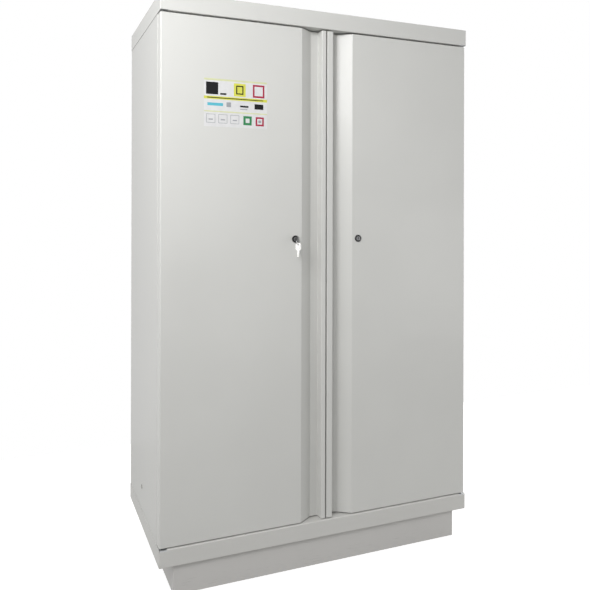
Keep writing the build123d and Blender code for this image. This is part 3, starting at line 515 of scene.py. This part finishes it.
printed("white", 0.0, LABEL_WIDTH, 0.0, LABEL_HEIGHT, lift=FILM)
printed("pale_yellow", 0.0, LABEL_WIDTH, 0.155, LABEL_HEIGHT)
printed("black", 0.007, 0.049, 0.108, 0.149)
printed("black", 0.056, 0.078, 0.108, 0.114)
printed("yellow", 0.104, 0.146, 0.106, 0.15)
printed("black", 0.112, 0.138, 0.113, 0.143, lift=OVERPRINT, line=0.004)
printed("crimson", 0.172, 0.214, 0.106, 0.15, line=0.006)
printed("yellow", 0.0, LABEL_WIDTH, 0.092, 0.102)
printed("black", 0.01, 0.21, 0.0955, 0.0985, lift=OVERPRINT)
printed("blue", 0.012, 0.066, 0.07, 0.08)
printed("grey", 0.078, 0.094, 0.068, 0.084)
printed("black", 0.126, 0.156, 0.07, 0.076)
printed("grey", 0.126, 0.152, 0.062, 0.065)
printed("black", 0.178, 0.21, 0.066, 0.084)
printed("pale_yellow", 0.0, LABEL_WIDTH, 0.049, 0.053)
for left in (0.008, 0.05, 0.092):
    printed("grey", left, left + 0.031, 0.012, 0.042, line=0.0015)
    printed("grey", left + 0.008, left + 0.023, 0.022, 0.026)
printed("green", 0.138, 0.168, 0.01, 0.041, line=0.008)
printed("crimson", 0.182, 0.212, 0.009, 0.04, line=0.006)
printed("grey", 0.192, 0.202, 0.02, 0.029)
label_mesh = bpy.data.meshes.new("door_label")
label.to_mesh(label_mesh)
label.free()
for ink, colour in inks.items():
    label_mesh.materials.append(surface(f"label_{ink}", label_print, {"Ink": colour, "Dullness": 0.4},
                                        depth=0.000005, plain={"Specular IOR Level": 0.2}))
door_label = set_out("door_label", label_mesh)
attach(door_label, "left_door")


# Lock rings and plugs. A black enamelled ring stands 3 mm proud of each door round the steel plug,
# whose keyway and pinion turn together. The locks swing with their doors, so every body's turn is
# held as a quaternion, which keeps a plug centred in its ring near 90 degrees.
LATHE_SIDES = 64


def turned(name, outline, centre, finish, body):
    """A ring turned on a lathe about the lock's axis, from its outline of radius and place in depth."""
    shape = bmesh.new()
    rings = []
    for number in range(LATHE_SIDES):
        angle = 2 * math.pi * number / LATHE_SIDES
        rings.append([shape.verts.new((centre[0] + reach * math.cos(angle), centre[1] + depth,
                                       centre[2] + reach * math.sin(angle))) for reach, depth in outline])
    skinned(shape, rings + rings[:1])
    return in_scene(name, shape, finish, body)


for body in frame["bodies"].values():
    body.rotation_mode = "QUATERNION"
ring_black = surface("ring_black", rubber_skin,
                     {"Rubber": (0.008, 0.008, 0.009), "Bloom": 0.04, "Dullness": 0.16},
                     depth=0.00002, plain={"Specular IOR Level": 0.6})
plug_steel = plated_steel("plug_steel", (0.2, 0.2, 0.205), dullness=0.3, spangle=900.0)
ring_outline = [(0.013, 0.0), (0.013, -0.0018), (0.01265, -0.0026), (0.0118, -0.003), (0.0099, -0.003),
                (0.0092, -0.0028), (0.0076, -0.0014), (0.0076, 0.0)]
for hand in ("left", "right"):
    low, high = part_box(f"{hand}_lock_ring")
    lock_centre = ((low[0] + high[0]) / 2, high[1], (low[2] + high[2]) / 2)
    ring = turned(f"{hand}_lock_rosette", ring_outline, lock_centre, ring_black, f"{hand}_door")
    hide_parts(f"{hand}_lock_ring")
    broken_edges(f"{hand}_lock_plug", plug_steel, f"{hand}_lock", edge=0.00025)


# Lock cases and rods. Zinc-plated channels behind the skins, with toothed flat bars that slide up
# and down from the plug's pinion through the ends of the door.
dress(fitting_zinc, "left_lock_case", "right_lock_case", "left_upper_rod", "left_lower_rod",
      "right_upper_rod", "right_lower_rod")


# Keys and their ring. Flat nickel-plated keys, one in the left lock and a spare that hangs from it
# on a split ring of round spring wire, whose two turns lie side by side and change places half way.
RING_RADIUS, WIRE_RADIUS, WIRE_SIDES = 0.008, 0.0003, 10
WIRE_STEPS, WIRE_START, WIRE_SWEEP = 128, 100, 700
CROSSING_START, CROSSING_LENGTH = 0.44, 0.12
key_nickel = plated_steel("key_nickel", (0.9, 0.89, 0.87), dullness=0.22, spangle=1200.0)
# The key in the lock takes a darker copy of the same nickel as the spare: painted shade, not a different
# metal.
shaded_nickel = plated_steel("shaded_nickel", (0.32, 0.32, 0.32), dullness=0.3, spangle=1200.0)
broken_edges("door_key", shaded_nickel, "left_lock", edge=0.00025)
broken_edges("spare_key", key_nickel, "spare_key", edge=0.00025)
wire = bmesh.new()
ring_low, ring_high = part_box("key_ring")
ring_centre = [(low + high) / 2 for low, high in zip(ring_low, ring_high)]
sections = []
for number in range(WIRE_STEPS + 1):
    share = number / WIRE_STEPS
    angle = math.radians(WIRE_START + WIRE_SWEEP * share)
    crossing = min(max((share - CROSSING_START) / CROSSING_LENGTH, 0.0), 1.0)
    beside = -WIRE_RADIUS + 2 * WIRE_RADIUS * crossing * crossing * (3 - 2 * crossing)
    section = []
    for part in range(WIRE_SIDES):
        turn = math.radians(360 * part / WIRE_SIDES)
        reach = RING_RADIUS + WIRE_RADIUS * math.cos(turn)
        section.append(wire.verts.new((ring_centre[0] + reach * math.cos(angle),
                                       ring_centre[1] + beside + WIRE_RADIUS * math.sin(turn),
                                       ring_centre[2] + reach * math.sin(angle))))
    sections.append(section)
skinned(wire, sections)
wire.faces.new(sections[0])
wire.faces.new(sections[-1])
wire_steel = plated_steel("ring_wire", (0.7, 0.7, 0.71), dullness=0.15, spangle=1500.0)
split_ring = in_scene("split_ring", wire, wire_steel, "key_ring")
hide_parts("key_ring")


# Stage. A plain pale floor that ends a step behind the cabinet and a surround, both seen as white,
# soft lamps in front from high on the left to low on the right, and two behind for the back and the
# right side.
FLOOR_REACH, FLOOR_BACK, FLOOR_HEIGHT = 30, 1.25, -0.0005
FLOOR_GLOW, FLOOR_GLOSS_SHARE = 0.8, 0.5
SURROUND_FILL, SURROUND_SEEN = 0.4, 1.0
WHITE = (1, 1, 1, 1)


def either(tree, first, second):
    """The higher of two masks."""
    return step(tree, "ShaderNodeMath", {0: first, 1: second}, operation="MAXIMUM").outputs["Value"]


floor_shape = bmesh.new()
floor_edge = ((-FLOOR_REACH, -FLOOR_REACH), (FLOOR_REACH, -FLOOR_REACH),
              (FLOOR_REACH, FLOOR_BACK), (-FLOOR_REACH, FLOOR_BACK))
floor_shape.faces.new([floor_shape.verts.new((x, y, FLOOR_HEIGHT)) for x, y in floor_edge])
floor_mesh = bpy.data.meshes.new("studio_floor")
floor_shape.to_mesh(floor_mesh)
floor_shape.free()
floor = set_out("studio_floor", floor_mesh)
floor_white = bpy.data.materials.new("floor_white")
floor_white.use_nodes = True
floor_tree = floor_white.node_tree
floor_shader = floor_tree.nodes["Principled BSDF"]
floor_shader.inputs["Base Color"].default_value = (0.45, 0.45, 0.44, 1)
floor_shader.inputs["Roughness"].default_value = 0.9
floor_shader.inputs["Emission Color"].default_value = WHITE
floor_paths = step(floor_tree, "ShaderNodeLightPath").outputs
mirrored = times(floor_tree, floor_paths["Is Glossy Ray"], FLOOR_GLOSS_SHARE)
floor_seen = either(floor_tree, floor_paths["Is Camera Ray"], mirrored)
floor_tree.links.new(times(floor_tree, floor_seen, FLOOR_GLOW), floor_shader.inputs["Emission Strength"])
floor_mesh.materials.append(floor_white)

studio = bpy.data.worlds.new("studio")
bpy.context.scene.world = studio
studio.use_nodes = True
sky = studio.node_tree
fill = sky.nodes["Background"]
fill.inputs["Color"].default_value = WHITE
fill.inputs["Strength"].default_value = SURROUND_FILL
seen = step(sky, "ShaderNodeBackground", {"Color": WHITE, "Strength": SURROUND_SEEN})
sky_paths = step(sky, "ShaderNodeLightPath").outputs
sky_seen = either(sky, sky_paths["Is Camera Ray"], sky_paths["Is Glossy Ray"])
sky_seen = either(sky, sky_seen, sky_paths["Is Transmission Ray"])
surround = step(sky, "ShaderNodeMixShader",
                {0: sky_seen, 1: fill.outputs["Background"], 2: seen.outputs["Background"]})
sky.links.new(surround.outputs["Shader"], sky.nodes["World Output"].inputs["Surface"])


def soft_lamp(name, place, target, size, watts):
    """A rectangular soft lamp that looks at a point."""
    lamp = bpy.data.lights.new(name, "AREA")
    lamp.shape = "RECTANGLE"
    lamp.size, lamp.size_y = size
    lamp.energy = watts
    stand = set_out(name, lamp)
    stand.location = place
    stand.rotation_euler = (Vector(target) - Vector(place)).to_track_quat("-Z", "Y").to_euler()


soft_lamp("near_softbox", (-1.2, -1.6, 2.2), (-0.2, -0.28, 1.75), size=(0.9, 0.65), watts=19.6)
soft_lamp("high_softbox", (-2.4, -1.4, 2.8), (-0.4, -0.2, 1.6), size=(1.2, 1.2), watts=15.3)
soft_lamp("side_fill", (-3.0, 0.1, 2.0), (-0.6, 0.0, 1.5), size=(1.2, 1.2), watts=5.0)
soft_lamp("low_side_fill", (-3.4, -1.2, 1.2), (0.0, -0.28, 1.0), size=(0.8, 1.2), watts=6.0)
soft_lamp("far_softbox", (-3.4, -3.2, 2.8), (-0.2, -0.2, 1.4), size=(1.6, 1.6), watts=44.0)
soft_lamp("low_fill", (2.2, -2.4, 0.8), (0.3, -0.28, 0.8), size=(1.0, 1.0), watts=8.9)
soft_lamp("right_fill", (4.0, -1.9, 1.8), (0.0, -0.28, 1.2), size=(1.4, 1.6), watts=22.0)
soft_lamp("rear_fill", (1.8, 3.4, 2.4), (0.1, 0.3, 1.1), size=(2.4, 2.4), watts=75.0)
soft_lamp("right_rear_fill", (3.6, 1.2, 2.0), (0.6, 0.1, 1.1), size=(2.2, 2.0), watts=18.0)


# Camera. It stands left of the middle and level, at chest height, and the picture's centre lies
# below its axis.
CAMERA_PLACE = (-1.0203, -2.4469, 1.2513)
CAMERA_TURN, CAMERA_ROLL = 22.49, 0.145
camera_data = bpy.data.cameras.new("camera")
camera_data.sensor_width = 36.0
camera_data.lens = 40.63
camera_data.shift_y = -0.1349
camera = set_out("camera", camera_data)
camera.matrix_world = (Matrix.Translation(CAMERA_PLACE)
                       @ Matrix.Rotation(math.radians(-CAMERA_TURN), 4, "Z")
                       @ Matrix.Rotation(math.radians(90), 4, "X")
                       @ Matrix.Rotation(math.radians(CAMERA_ROLL), 4, "Z"))
bpy.context.scene.camera = camera
bpy.context.scene.view_settings.view_transform = "Standard"
